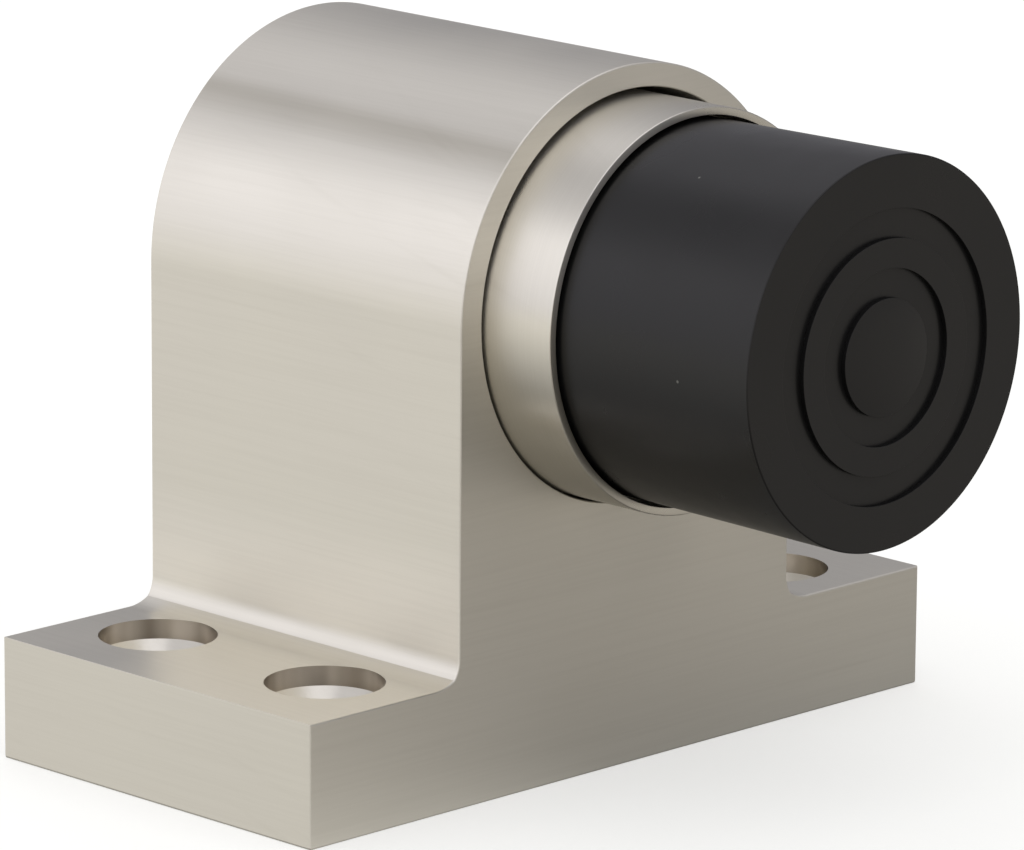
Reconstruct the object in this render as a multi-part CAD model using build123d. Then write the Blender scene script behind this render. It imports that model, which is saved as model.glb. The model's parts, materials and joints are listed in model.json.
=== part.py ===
from build123d import *
import os

# Sprung floor buffer for a heavy door. X runs along the base, the buffer points along -Y and Z is up.
# The origin is the middle of the base's underside. All sizes are in millimetres.

# Plunger and rubber
plunger_diameter = 42.0  # thin-walled sleeve that carries the rubber
plunger_reach = 9.25  # how far the sleeve stands out of the housing at rest
plunger_travel = 9.0  # stroke, which ends with the sleeve about flush
rim_wall = 0.85  # wall of the sleeve at its mouth
rim_rounding = 0.3
rim_gap = 0.4  # open gap round the rubber at the mouth
rim_gap_depth = 6.0
rubber_seat_depth = 11.0  # how far the rubber sits in the sleeve
bond_gap = 0.05  # glue line round the rubber's seat
rubber_reach = 26.0  # how far the rubber stands out of the sleeve
rubber_flare = 0.35  # growth of the rubber's radius towards its face
rubber_rounding = 0.3
groove_width = 3.0  # ring grooves on the rubber's face
groove_depth = 1.0
inner_groove_radius = 7.5
outer_groove_radius = 13.5
web_thickness = 5.0  # wall across the plunger, behind the rubber
skirt_wall = 3.5  # wall round the spring
land_length = 12.0  # rear band of the plunger that runs in the bore
land_clearance = 0.1
plunger_chamfer = 0.5

# Housing
bore_gap = 0.5  # visible gap round the sleeve
bore_chamfer = 0.1
end_gap = 0.3  # left between the plunger and the bore's floor at full stroke
tower_wall = 2.75  # wall beside and above the bore
axis_height = 49.5  # bore's axis above the floor
base_depth = 46.0
back_wall = 9.0
back_skin = 1.5  # left behind the screw's blind hole
flange_length = 20.75  # from the tower to the end of the base
flange_thickness = 13.0
flange_fillet = 4.0
foot_rounding = 1.0  # along the underside, at both ends of the base
end_rounding = 0.35  # along the top, at both ends of the base
edge_rounding = 0.25  # all round the front and back faces

# Floor holes, for 6 mm countersunk screws
hole_diameter = 6.5
head_recess_diameter = 12.4
head_recess_depth = 2.1
countersink_angle = 90.0
hole_offset = 8.75  # from the tower's side to the hole's axis
hole_inset = 10.5  # from the front or back face to the hole's axis

# Guide screw, washer and spring
shoulder_diameter = 10.0
shoulder_clearance = 0.3
thread_diameter = 8.0
thread_clearance = 0.1
thread_end_gap = 0.5
head_diameter = 16.0
head_height = 7.0
head_rounding = 0.6
socket_width = 5.0
socket_depth = 3.5
washer_diameter = 17.5
washer_thickness = 1.5
washer_clearance = 0.25
stop_gap = 0.1  # between the washer and the plunger's web at rest
hollow_gap = 1.0  # round and in front of the screw's head, inside the rubber
spring_wire = 3.5
spring_gap = 0.5  # between the spring and the skirt
coil_reserve = 0.35  # left between the coils at full stroke

# Radii that the pieces share
plunger_radius = plunger_diameter / 2
bore_radius = plunger_radius + bore_gap
tower_radius = bore_radius + tower_wall
rim_bore_radius = plunger_radius - rim_wall
rubber_radius = rim_bore_radius - rim_gap
skirt_bore_radius = plunger_radius - skirt_wall
hollow_radius = washer_diameter / 2 + hollow_gap

# Places along the buffer's axis, front to back
front_y = -base_depth / 2
back_y = base_depth / 2
rim_y = front_y - plunger_reach
rubber_face_y = rim_y - rubber_reach
seat_y = rim_y + rubber_seat_depth
web_back_y = seat_y + web_thickness
bore_floor_y = back_y - back_wall
plunger_back_y = bore_floor_y - plunger_travel - end_gap
washer_back_y = seat_y - stop_gap
head_back_y = washer_back_y - washer_thickness
head_front_y = head_back_y - head_height
hollow_front_y = head_front_y - plunger_travel - hollow_gap
screw_hole_y = back_y - back_skin

buffer_axis = Pos(0, 0, axis_height)


def turned(points):
    """A solid turned from (radius, y) points about the buffer's axis."""
    return buffer_axis * revolve(make_face(Polyline(*points, close=True)), Axis.Y)


def ring_edges(solid, radius, y):
    """The round edges of a turned solid with this radius, at this place along the axis."""
    circles = solid.edges().filter_by(GeomType.CIRCLE)
    return circles.filter_by(lambda e: abs(e.radius - radius) < 1e-4 and abs(e.arc_center.Y - y) < 1e-4)


def floor_hole():
    """Cutting tool for one floor hole: head recess, countersink and clearance hole."""
    recess_radius = head_recess_diameter / 2
    hole_radius = hole_diameter / 2
    cone_top = flange_thickness - head_recess_depth
    past_fillet = head_recess_depth + flange_fillet
    recess = Cylinder(recess_radius, past_fillet, align=(Align.CENTER, Align.CENTER, Align.MIN))
    cone = CounterSinkHole(
        radius=hole_radius,
        counter_sink_radius=recess_radius,
        depth=cone_top,
        counter_sink_angle=countersink_angle,
        mode=Mode.PRIVATE,
    )
    return Pos(0, 0, cone_top) * (recess + cone)


def housing():
    """One block: a flanged base and an arched tower, bored from the front with a closed back."""
    tower_width = 2 * tower_radius
    base_length = tower_width + 2 * flange_length
    base = Rectangle(base_length, flange_thickness, align=(Align.CENTER, Align.MIN))
    tower = Rectangle(tower_width, axis_height, align=(Align.CENTER, Align.MIN))
    arch = Pos(0, axis_height) * Circle(tower_radius)
    profile = base + tower + arch
    ends = profile.vertices().filter_by(lambda v: abs(abs(v.X) - base_length / 2) < 1e-4)
    profile = fillet(ends.filter_by(lambda v: v.Y > flange_thickness / 2), end_rounding)
    feet = profile.vertices().filter_by(lambda v: v.Y < 1e-4)
    profile = fillet(feet, foot_rounding)
    roots = profile.vertices().filter_by(
        lambda v: abs(abs(v.X) - tower_radius) < 1e-4 and abs(v.Y - flange_thickness) < 1e-4
    )
    profile = fillet(roots, flange_fillet)
    upright = Plane.XZ.offset(-base_depth / 2)
    block = extrude(upright * profile, base_depth)
    by_depth = block.faces().sort_by(Axis.Y)
    outlines = by_depth[0].edges() + by_depth[-1].edges()
    block = fillet(outlines, edge_rounding)

    thread_radius = thread_diameter / 2
    mouth_radius = bore_radius + bore_chamfer
    block -= turned(
        [
            (0, front_y - plunger_reach),
            (mouth_radius, front_y - plunger_reach),
            (mouth_radius, front_y),
            (bore_radius, front_y + bore_chamfer),
            (bore_radius, bore_floor_y),
            (thread_radius, bore_floor_y),
            (thread_radius, screw_hole_y),
            (0, screw_hole_y),
        ]
    )
    hole_pitch_x = tower_width + 2 * hole_offset
    hole_pitch_y = base_depth - 2 * hole_inset
    for place in GridLocations(hole_pitch_x, hole_pitch_y, 2, 2):
        block -= place * floor_hole()
    return block


def plunger_cup():
    """Turned cup: a thin sleeve for the rubber, a web for the guide screw and a skirt round the spring."""
    seat_radius = rubber_radius + bond_gap
    land_radius = bore_radius - land_clearance
    screw_hole_radius = shoulder_diameter / 2 + shoulder_clearance
    cup = turned(
        [
            (rim_bore_radius, rim_y),
            (plunger_radius, rim_y),
            (plunger_radius, plunger_back_y - land_length),
            (land_radius, plunger_back_y - land_length + plunger_chamfer),
            (land_radius, plunger_back_y - plunger_chamfer),
            (land_radius - plunger_chamfer, plunger_back_y),
            (skirt_bore_radius, plunger_back_y),
            (skirt_bore_radius, web_back_y),
            (screw_hole_radius, web_back_y),
            (screw_hole_radius, seat_y),
            (seat_radius, seat_y),
            (seat_radius, rim_y + rim_gap_depth),
            (rim_bore_radius, rim_y + rim_gap_depth),
        ]
    )
    return fillet(ring_edges(cup, plunger_radius, rim_y), rim_rounding)


def rubber_buffer():
    """Moulded cylinder with two ring grooves on its face and a hollow behind for the screw's head."""
    groove_floor_y = rubber_face_y + groove_depth
    face_radius = rubber_radius + rubber_flare
    points = [
        (0, hollow_front_y),
        (hollow_radius, hollow_front_y),
        (hollow_radius, seat_y),
        (rubber_radius, seat_y),
        (rubber_radius, rim_y),
        (face_radius, rubber_face_y),
    ]
    for radius in (outer_groove_radius, inner_groove_radius):
        outer = radius + groove_width / 2
        inner = radius - groove_width / 2
        points += [(outer, rubber_face_y), (outer, groove_floor_y)]
        points += [(inner, groove_floor_y), (inner, rubber_face_y)]
    points.append((0, rubber_face_y))
    buffer = turned(points)
    return fillet(ring_edges(buffer, face_radius, rubber_face_y), rubber_rounding)


def guide_screw():
    """Socket-head shoulder screw, screwed into the bore's floor from the front."""
    thread_radius = thread_diameter / 2 - thread_clearance
    head_radius = head_diameter / 2
    screw = turned(
        [
            (0, head_front_y),
            (head_radius, head_front_y),
            (head_radius, head_back_y),
            (shoulder_diameter / 2, head_back_y),
            (shoulder_diameter / 2, bore_floor_y),
            (thread_radius, bore_floor_y),
            (thread_radius, screw_hole_y - thread_end_gap),
            (0, screw_hole_y - thread_end_gap),
        ]
    )
    screw = fillet(ring_edges(screw, head_radius, head_front_y), head_rounding)
    socket = RegularPolygon(socket_width / 2, 6, major_radius=False)
    mouth = Plane(origin=(0, head_front_y, axis_height), z_dir=(0, 1, 0))
    return screw - extrude(mouth * socket, socket_depth)


def stop_washer():
    """Flat washer between the screw's head and the plunger's web."""
    hole_radius = shoulder_diameter / 2 + washer_clearance
    return turned(
        [
            (hole_radius, head_back_y),
            (washer_diameter / 2, head_back_y),
            (washer_diameter / 2, washer_back_y),
            (hole_radius, washer_back_y),
        ]
    )


def compression_spring():
    """Round-wire spring from the plunger's web to the bore's floor, with its ends ground flat."""
    length = bore_floor_y - web_back_y
    turns = (length - plunger_travel) / (spring_wire + coil_reserve)
    wire_radius = spring_wire / 2
    coil_radius = skirt_bore_radius - spring_gap - wire_radius
    path = Helix(length / turns, length, coil_radius)
    section = Plane(origin=path @ 0, z_dir=path % 0) * Circle(wire_radius)
    coil = sweep(section, path, is_frenet=True)
    coil &= Cylinder(skirt_bore_radius, length, align=(Align.CENTER, Align.CENTER, Align.MIN))
    return Pos(0, web_back_y, axis_height) * Rot(-90, 0, 0) * coil


pieces = [housing, plunger_cup, rubber_buffer, guide_screw, stop_washer, compression_spring]

os.makedirs("parts", exist_ok=True)
for piece in pieces:
    export_step(piece(), f"parts/{piece.__name__}.step")
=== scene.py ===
"""Looks of a sprung floor door stop: satin stainless housing, turned sleeve and moulded rubber buffer."""

import json
import logging
import math
from dataclasses import dataclass
from enum import Enum

import bmesh
import bpy
from mathutils import Matrix, Vector


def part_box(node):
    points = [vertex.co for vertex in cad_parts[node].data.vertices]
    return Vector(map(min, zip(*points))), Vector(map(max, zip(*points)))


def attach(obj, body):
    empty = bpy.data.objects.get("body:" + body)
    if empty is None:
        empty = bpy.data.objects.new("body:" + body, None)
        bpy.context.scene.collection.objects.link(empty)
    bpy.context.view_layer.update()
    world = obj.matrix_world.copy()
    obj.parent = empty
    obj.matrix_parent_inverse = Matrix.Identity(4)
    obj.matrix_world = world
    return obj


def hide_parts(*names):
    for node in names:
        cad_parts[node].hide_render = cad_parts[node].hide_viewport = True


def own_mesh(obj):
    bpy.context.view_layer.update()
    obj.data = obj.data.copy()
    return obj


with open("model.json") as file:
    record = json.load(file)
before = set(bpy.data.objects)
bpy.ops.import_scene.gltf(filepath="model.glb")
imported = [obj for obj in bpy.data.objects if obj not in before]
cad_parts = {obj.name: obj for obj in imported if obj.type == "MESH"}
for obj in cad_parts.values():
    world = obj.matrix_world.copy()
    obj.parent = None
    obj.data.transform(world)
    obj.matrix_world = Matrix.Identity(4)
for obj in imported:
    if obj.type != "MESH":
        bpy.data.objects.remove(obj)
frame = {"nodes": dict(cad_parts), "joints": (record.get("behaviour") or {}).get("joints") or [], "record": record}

MM = 0.001
# Corners nearer to each other than this, in millimetres, are one corner.
MERGE_DISTANCE = 0.0005
log = logging.getLogger("door_stop")

# A point of a turned profile: radius and place along the buffer's axis, in millimetres.
ProfilePoint = tuple[float, float]
Value = float | int | bool | str | tuple | bpy.types.NodeSocket


def linear(hex_colour: str) -> tuple[float, float, float, float]:
    """Turns an sRGB hex colour into Blender's linear colour.

    Args:
        hex_colour: Six hex digits after a hash sign.

    Returns:
        Red, green, blue and a full alpha.
    """
    shares = [int(hex_colour[i : i + 2], 16) / 255 for i in (1, 3, 5)]
    levels = [s / 12.92 if s <= 0.04045 else ((s + 0.055) / 1.055) ** 2.4 for s in shares]
    return (levels[0], levels[1], levels[2], 1.0)


def add(
    tree: bpy.types.NodeTree, kind: str, inputs: dict[str | int, Value] | None = None, **settings: Value
) -> bpy.types.Node:
    """Adds one node with its settings and links.

    Args:
        tree: Tree that gets the node.
        kind: Blender's type name of the node.
        inputs: A value or another node's output for each input, by name or number.
        settings: The node's own properties.

    Returns:
        The new node.
    """
    node = tree.nodes.new(kind)
    for name, value in settings.items():
        setattr(node, name, value)
    for key, value in (inputs or {}).items():
        if isinstance(value, bpy.types.NodeSocket):
            tree.links.new(value, node.inputs[key])
        else:
            node.inputs[key].default_value = value
    return node


def new_object(name: str, mesh: bpy.types.Mesh) -> bpy.types.Object:
    """Links a new object that shows this mesh."""
    made = bpy.data.objects.new(name, mesh)
    bpy.context.scene.collection.objects.link(made)
    return made


def settle(piece: bpy.types.Object) -> bpy.types.Object:
    """Turns a piece with its modifiers into a plain mesh.

    Args:
        piece: Object whose modifiers are applied and removed.

    Returns:
        The same object.
    """
    depsgraph = bpy.context.evaluated_depsgraph_get()
    shown = piece.evaluated_get(depsgraph)
    mesh = bpy.data.meshes.new_from_object(shown, preserve_all_data_layers=True, depsgraph=depsgraph)
    mesh.name = piece.name
    piece.modifiers.clear()
    piece.data = mesh
    return piece


def close_mesh(mesh: bpy.types.Mesh) -> None:
    """Joins the corners that lie on one spot, and points the faces outwards."""
    shell = bmesh.new()
    shell.from_mesh(mesh)
    bmesh.ops.remove_doubles(shell, verts=shell.verts, dist=MERGE_DISTANCE * MM)
    bmesh.ops.recalc_face_normals(shell, faces=shell.faces)
    shell.to_mesh(mesh)
    shell.free()


def smooth(piece: bpy.types.Object, sharp_angle: float) -> None:
    """Shades a piece smoothly, keeps its sharp edges, and keeps its flat faces flat.

    Args:
        piece: Object with a plain mesh.
        sharp_angle: Edges that turn by more than this, in degrees, stay sharp.
    """
    close_mesh(piece.data)
    piece.data.shade_smooth()
    piece.data.set_sharp_from_angle(angle=math.radians(sharp_angle))
    weights = piece.modifiers.new("flat_faces", "WEIGHTED_NORMAL")
    weights.keep_sharp = True
    settle(piece)


def arc(
    centre: ProfilePoint, radius: float, start: float, end: float, steps: int
) -> list[ProfilePoint]:
    """Points along an arc, both ends included.

    Args:
        centre: Middle of the arc.
        radius: Radius of the arc.
        start: First angle in degrees.
        end: Last angle in degrees.
        steps: Number of straight runs.

    Returns:
        The points in order.
    """
    angles = [math.radians(start + (end - start) * i / steps) for i in range(steps + 1)]
    return [(centre[0] + radius * math.cos(a), centre[1] + radius * math.sin(a)) for a in angles]


def floor_holes() -> dict[str, float]:
    """Takes the radius and the spacing of the floor holes, in millimetres, from the frame."""
    mounts = {mount["name"]: mount for mount in frame["record"]["mounts"]}
    return mounts["floor_screws"]["dims"]


class Grain(Enum):
    """How the lines of a metal finish run."""

    ALONG_DEPTH = "ground along the depth, and along the base on the front and back"
    ROUND_AXIS = "turned round the buffer's axis"


@dataclass(frozen=True)
class SatinSteel:
    """Stainless steel with a fine ground or turned face: a soft warm grey metal with faint lines.

    Sizes are in millimetres and angles in degrees.
    """

    name: str
    colour: str
    line_colour: str
    roughness: float
    grain: Grain
    axis_height: float
    # The front and back, where the normal lies this much along the axis, have a roughness of their own.
    face_roughness: float = 0.5
    facing_limit: float = 0.7
    # Turning lines stretch what the metal shows, by this much and turned by this share of a full turn.
    anisotropy: float = 0.0
    anisotropic_turn: float = 0.25
    # The floor holes: half their spacing, and how far from their axes the drill's finish reaches.
    drilled_at: tuple[float, float] = (0.0, 0.0)
    drilled_radius: float = 0.0
    drilled_roughness: float = 0.32
    # Their walls, where the normal lies less than this much upright, have streaks of two colours, both darker than
    # the rest as painted shade in the holes.
    upright_limit: float = 0.35
    hole_streak_and_shade_colours: tuple[str, str] = ("#CFC7BB", "#9C9386")
    drilled_streak: float = 4.5
    drilled_range: tuple[float, float] = (0.35, 0.65)
    # Grinding or turning lines, with the part of their pattern that holds shade.
    line_pitch: float = 0.4
    line_length: float = 24.0
    line_depth: float = 0.0008
    line_range: tuple[float, float] = (0.4, 0.75)
    line_shade: float = 0.14
    # Waves of the ground face, which also change its roughness by this much either way.
    wave_width: float = 14.0
    wave_depth: float = 0.012
    wave_range: tuple[float, float] = (0.3, 0.7)
    wave_dulling: float = 0.03
    # Marks of handling.
    mark_width: float = 1.6
    mark_length: float = 34.0
    mark_tilt: float = 14.0
    mark_range: tuple[float, float] = (0.66, 0.8)
    mark_shade: float = 0.12
    # Painted shade in a dark band along the arch, where the metal's reflection is dark: angle above the axis where
    # its shade starts, is full, starts to fall and ends.
    painted_arch_shade_depth: float = 0.0
    painted_arch_shade_at: tuple[float, float, float, float] = (38.0, 45.5, 46.8, 50.8)
    painted_arch_shade_slant: float = 0.05
    # Just above the flange the walls are rougher, and painted light lifts their colour there: height where that
    # starts, is full, starts to fall and ends.
    corner_roughness: float = 0.62
    painted_light_gain: str = "#5F5D58"
    corner_at: tuple[float, float, float, float] = (14.8, 16.2, 18.5, 27.0)

    def material(self) -> bpy.types.Material:
        """Builds the steel.

        Returns:
            The finished material.
        """
        made = bpy.data.materials.new(self.name)
        made.use_nodes = True
        tree = made.node_tree
        shader = tree.nodes["Principled BSDF"]
        place = add(tree, "ShaderNodeTexCoord")
        lines = add(
            tree,
            "ShaderNodeTexNoise",
            {"Vector": self._line_place(tree, place), "Scale": 1.0, "Detail": 3.0, "Roughness": 0.6},
        )
        waves = add(
            tree,
            "ShaderNodeTexNoise",
            {"Vector": place.outputs["Object"], "Scale": 1 / (self.wave_width * MM), "Detail": 2.0},
        )
        marks = self._marks(tree, place)

        # The lines hold a little shade, and the marks of handling dull the face.
        first, last = self.line_range
        shade = add(
            tree,
            "ShaderNodeMapRange",
            {"Value": lines.outputs[0], "From Min": first, "From Max": last, "To Max": self.line_shade},
        )
        worn = add(tree, "ShaderNodeMath", {0: shade.outputs[0], 1: marks}, operation="ADD")
        # Painted shade deepens the dark band of reflection along the arch.
        painted_arch_shade = self._arch_shade_band(tree, place)
        worn_and_shaded = add(tree, "ShaderNodeMath", {0: worn.outputs[0], 1: painted_arch_shade}, operation="ADD")
        tint = add(
            tree,
            "ShaderNodeMix",
            {0: worn_and_shaded.outputs[0], 6: linear(self.colour), 7: linear(self.line_colour)},
            data_type="RGBA",
        )
        matt_painted_band = self._matt_painted_band(tree, place)
        # Painted light: the walls just above the flange get a lighter colour.
        painted_lift = add(
            tree,
            "ShaderNodeMix",
            {0: matt_painted_band, 6: tint.outputs[2], 7: linear(self.painted_light_gain)},
            data_type="RGBA",
            blend_type="ADD",
        )
        inside = self._drilled(tree, place)
        # Painted shade: the walls of the floor holes are darker than the rest, with streaks.
        drilled = self._hole_streaks_and_shade(tree, place, inside, painted_lift.outputs[2])
        tree.links.new(drilled, shader.inputs["Base Color"])
        first, last = self.wave_range
        dull = add(
            tree,
            "ShaderNodeMapRange",
            {
                "Value": waves.outputs[0],
                "From Min": first,
                "From Max": last,
                "To Min": -self.wave_dulling,
                "To Max": self.wave_dulling,
            },
        )
        rough = add(
            tree,
            "ShaderNodeMath",
            {0: self._roughness(tree, place, inside, matt_painted_band), 1: dull.outputs[0]},
            operation="ADD",
        )
        tree.links.new(rough.outputs[0], shader.inputs["Roughness"])
        shader.inputs["Metallic"].default_value = 1.0
        if self.grain is Grain.ROUND_AXIS:
            # Turning lines blur what the metal shows across them, and hardly along them.
            shader.inputs["Anisotropic"].default_value = self.anisotropy
            shader.inputs["Anisotropic Rotation"].default_value = self.anisotropic_turn
            round_axis = add(tree, "ShaderNodeTangent", direction_type="RADIAL", axis="Y")
            tree.links.new(round_axis.outputs[0], shader.inputs["Tangent"])

        # The ground face is not quite flat, and the lines stand on its waves.
        swell = add(
            tree,
            "ShaderNodeBump",
            {"Height": waves.outputs[0], "Strength": 1.0, "Distance": self.wave_depth * MM},
        )
        cut = add(
            tree,
            "ShaderNodeBump",
            {
                "Height": lines.outputs[0],
                "Strength": 1.0,
                "Distance": self.line_depth * MM,
                "Normal": swell.outputs[0],
            },
        )
        tree.links.new(cut.outputs[0], shader.inputs["Normal"])
        return made

    def _line_place(self, tree: bpy.types.NodeTree, place: bpy.types.Node) -> bpy.types.NodeSocket:
        """Stretches the pattern of lines along the way the metal was worked.

        Args:
            tree: The material's tree.
            place: The texture coordinates.

        Returns:
            The place to read the lines at, where 1 is one line.
        """
        # Real grinding lines are finer. This is as coarse as the render needs to show them.
        across = 1 / (self.line_pitch * MM)
        along = 1 / (self.line_length * MM)
        spot = place.outputs["Object"]
        if self.grain is Grain.ROUND_AXIS:
            centred = add(
                tree, "ShaderNodeMapping", {"Vector": spot, "Location": (0, 0, -self.axis_height * MM)}
            )
            parts = add(tree, "ShaderNodeSeparateXYZ", {0: centred.outputs[0]})
            flat = add(tree, "ShaderNodeCombineXYZ", {0: parts.outputs["X"], 1: parts.outputs["Z"]})
            radius = add(tree, "ShaderNodeVectorMath", {0: flat.outputs[0]}, operation="LENGTH")
            drift = add(tree, "ShaderNodeTexNoise", {"Vector": spot, "Scale": along})
            ring = add(
                tree,
                "ShaderNodeCombineXYZ",
                {0: radius.outputs["Value"], 1: parts.outputs["Y"]},
            )
            fine = add(
                tree,
                "ShaderNodeVectorMath",
                {0: ring.outputs[0], 1: (across, across, 0)},
                operation="MULTIPLY",
            )
            lift = add(tree, "ShaderNodeCombineXYZ", {2: drift.outputs[0]})
            moved = add(
                tree, "ShaderNodeVectorMath", {0: fine.outputs[0], 1: lift.outputs[0]}, operation="ADD"
            )
            return moved.outputs[0]
        sides = add(tree, "ShaderNodeMapping", {"Vector": spot, "Scale": (across, along, across)})
        ends = add(tree, "ShaderNodeMapping", {"Vector": spot, "Scale": (along, across, across)})
        chosen = add(
            tree,
            "ShaderNodeMix",
            {0: self._facing(tree, place), 4: sides.outputs[0], 5: ends.outputs[0]},
            data_type="VECTOR",
        )
        return chosen.outputs[1]

    def _facing(self, tree: bpy.types.NodeTree, place: bpy.types.Node) -> bpy.types.NodeSocket:
        """Is 1 on faces that look along the buffer's axis, and 0 elsewhere."""
        parts = add(tree, "ShaderNodeSeparateXYZ", {0: place.outputs["Normal"]})
        along = add(tree, "ShaderNodeMath", {0: parts.outputs["Y"]}, operation="ABSOLUTE")
        front = add(
            tree,
            "ShaderNodeMath",
            {0: along.outputs[0], 1: self.facing_limit},
            operation="GREATER_THAN",
        )
        return front.outputs[0]

    def _side(self, tree: bpy.types.NodeTree, place: bpy.types.Node) -> bpy.types.NodeSocket:
        """Is 0 on faces that look along the buffer's axis, and 1 elsewhere."""
        side = add(tree, "ShaderNodeMath", {0: 1.0, 1: self._facing(tree, place)}, operation="SUBTRACT")
        return side.outputs[0]

    def _arch_shade_band(self, tree: bpy.types.NodeTree, place: bpy.types.Node) -> bpy.types.NodeSocket:
        """Painted shade in a dark band along the arch, where the metal's reflection is dark; it slants a little
        along the depth.

        Args:
            tree: The material's tree.
            place: The texture coordinates.

        Returns:
            How much painted shade the arch gets there, and 0 elsewhere.
        """
        parts = add(tree, "ShaderNodeSeparateXYZ", {0: place.outputs["Object"]})
        beside = add(tree, "ShaderNodeMath", {0: parts.outputs["X"]}, operation="ABSOLUTE")
        above = add(
            tree, "ShaderNodeMath", {0: parts.outputs["Z"], 1: self.axis_height * MM}, operation="SUBTRACT"
        )
        angle = add(tree, "ShaderNodeMath", {0: above.outputs[0], 1: beside.outputs[0]}, operation="ARCTAN2")
        slant = -math.radians(self.painted_arch_shade_slant) / MM
        turn = add(
            tree,
            "ShaderNodeMath",
            {0: parts.outputs["Y"], 1: slant, 2: angle.outputs[0]},
            operation="MULTIPLY_ADD",
        )
        band = self._band(tree, turn.outputs[0], tuple(math.radians(at) for at in self.painted_arch_shade_at))
        there = add(tree, "ShaderNodeMath", {0: band, 1: self._side(tree, place)}, operation="MULTIPLY")
        painted_arch_shade = add(tree, "ShaderNodeMath", {0: there.outputs[0], 1: self.painted_arch_shade_depth}, operation="MULTIPLY")
        return painted_arch_shade.outputs[0]

    @staticmethod
    def _band(
        tree: bpy.types.NodeTree, value: bpy.types.NodeSocket, places: tuple[float, float, float, float]
    ) -> bpy.types.NodeSocket:
        """Is 1 in a band and fades to 0 on both sides of it.

        Args:
            tree: The material's tree.
            value: What the band is measured by.
            places: Value where the band starts, is full, starts to fall and ends.

        Returns:
            The share of the band.
        """
        start, full, fall, end = places
        rise = add(tree, "ShaderNodeMapRange", {"Value": value, "From Min": start, "From Max": full})
        left = add(tree, "ShaderNodeMapRange", {"Value": value, "From Min": end, "From Max": fall})
        band = add(tree, "ShaderNodeMath", {0: rise.outputs[0], 1: left.outputs[0]}, operation="MULTIPLY")
        return band.outputs[0]

    def _matt_painted_band(self, tree: bpy.types.NodeTree, place: bpy.types.Node) -> bpy.types.NodeSocket:
        """Is 1 on the walls just above the flange, where they are rougher and painted light lifts their colour,
        and 0 elsewhere.
        """
        parts = add(tree, "ShaderNodeSeparateXYZ", {0: place.outputs["Object"]})
        band = self._band(tree, parts.outputs["Z"], tuple(at * MM for at in self.corner_at))
        matt_painted_band = add(tree, "ShaderNodeMath", {0: band, 1: self._side(tree, place)}, operation="MULTIPLY")
        return matt_painted_band.outputs[0]

    def _drilled(self, tree: bpy.types.NodeTree, place: bpy.types.Node) -> bpy.types.NodeSocket:
        """Is 1 in the floor holes, and 0 elsewhere.

        Args:
            tree: The material's tree.
            place: The texture coordinates.

        Returns:
            The share of the drill's finish.
        """
        half_x, half_y = (size * MM for size in self.drilled_at)
        folded = add(tree, "ShaderNodeVectorMath", {0: place.outputs["Object"]}, operation="ABSOLUTE")
        offset = add(
            tree,
            "ShaderNodeVectorMath",
            {0: folded.outputs[0], 1: (half_x, half_y, 0)},
            operation="SUBTRACT",
        )
        flat = add(tree, "ShaderNodeVectorMath", {0: offset.outputs[0], 1: (1, 1, 0)}, operation="MULTIPLY")
        apart = add(tree, "ShaderNodeVectorMath", {0: flat.outputs[0]}, operation="LENGTH")
        inside = add(
            tree,
            "ShaderNodeMath",
            {0: apart.outputs["Value"], 1: self.drilled_radius * MM},
            operation="LESS_THAN",
        )
        return inside.outputs[0]

    def _hole_streaks_and_shade(
        self,
        tree: bpy.types.NodeTree,
        place: bpy.types.Node,
        inside: bpy.types.NodeSocket,
        ground: bpy.types.NodeSocket,
    ) -> bpy.types.NodeSocket:
        """Colour with the upright walls of the floor holes in it, which are streaked and darkened by painted
        shade.

        Args:
            tree: The material's tree.
            place: The texture coordinates.
            inside: Is 1 in the floor holes.
            ground: Colour of the rest.

        Returns:
            The colour all over.
        """
        across = 1 / (self.drilled_streak * MM)
        flat = add(
            tree, "ShaderNodeMapping", {"Vector": place.outputs["Object"], "Scale": (across, across, 0)}
        )
        streaks = add(tree, "ShaderNodeTexNoise", {"Vector": flat.outputs[0], "Scale": 1.0, "Detail": 2.0})
        first, last = self.drilled_range
        share = add(
            tree, "ShaderNodeMapRange", {"Value": streaks.outputs[0], "From Min": first, "From Max": last}
        )
        light, dark = self.hole_streak_and_shade_colours
        wall = add(
            tree,
            "ShaderNodeMix",
            {0: share.outputs[0], 6: linear(light), 7: linear(dark)},
            data_type="RGBA",
        )
        parts = add(tree, "ShaderNodeSeparateXYZ", {0: place.outputs["Normal"]})
        slope = add(tree, "ShaderNodeMath", {0: parts.outputs["Z"]}, operation="ABSOLUTE")
        upright = add(
            tree,
            "ShaderNodeMath",
            {0: slope.outputs[0], 1: self.upright_limit},
            operation="LESS_THAN",
        )
        where = add(tree, "ShaderNodeMath", {0: inside, 1: upright.outputs[0]}, operation="MULTIPLY")
        mixed = add(
            tree, "ShaderNodeMix", {0: where.outputs[0], 6: ground, 7: wall.outputs[2]}, data_type="RGBA"
        )
        return mixed.outputs[2]

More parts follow.
